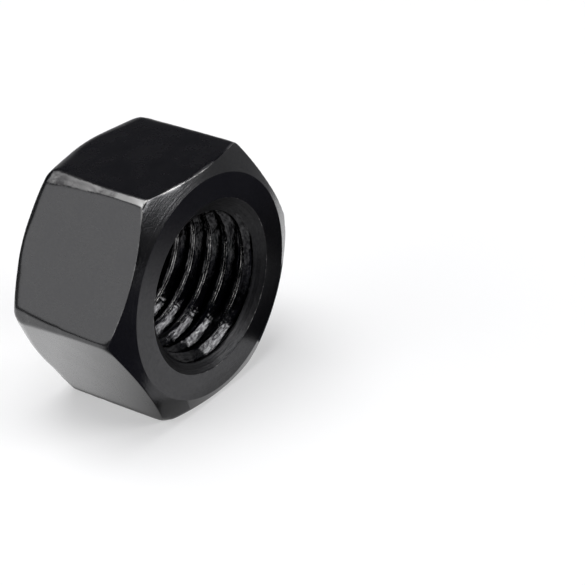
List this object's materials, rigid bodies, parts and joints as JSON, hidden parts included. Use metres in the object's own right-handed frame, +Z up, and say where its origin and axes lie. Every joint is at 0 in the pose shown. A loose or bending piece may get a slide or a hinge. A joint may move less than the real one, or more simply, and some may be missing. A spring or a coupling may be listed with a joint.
{
  "type": "hex nut",
  "caption": "Plain hex nut with a right-hand coarse metric thread, chamfered on both faces and countersunk at both ends of the hole.",
  "frame": {"origin": "middle of the flat that the nut stands on, straight below the centre of the thread", "axes": "+Z up, square to the flats above and below; -Y along the thread's axis out of the front bearing face; +X towards a corner of the hexagon"},
  "size_m": [0.0276, 0.0142, 0.024],
  "materials": {
    "blackened_steel": "blackened and oiled steel, grainy, with bright wear on its edges"
  },
  "bodies": {
    "root": {"nut_body": "blackened_steel"}
  },
  "joints": []
}
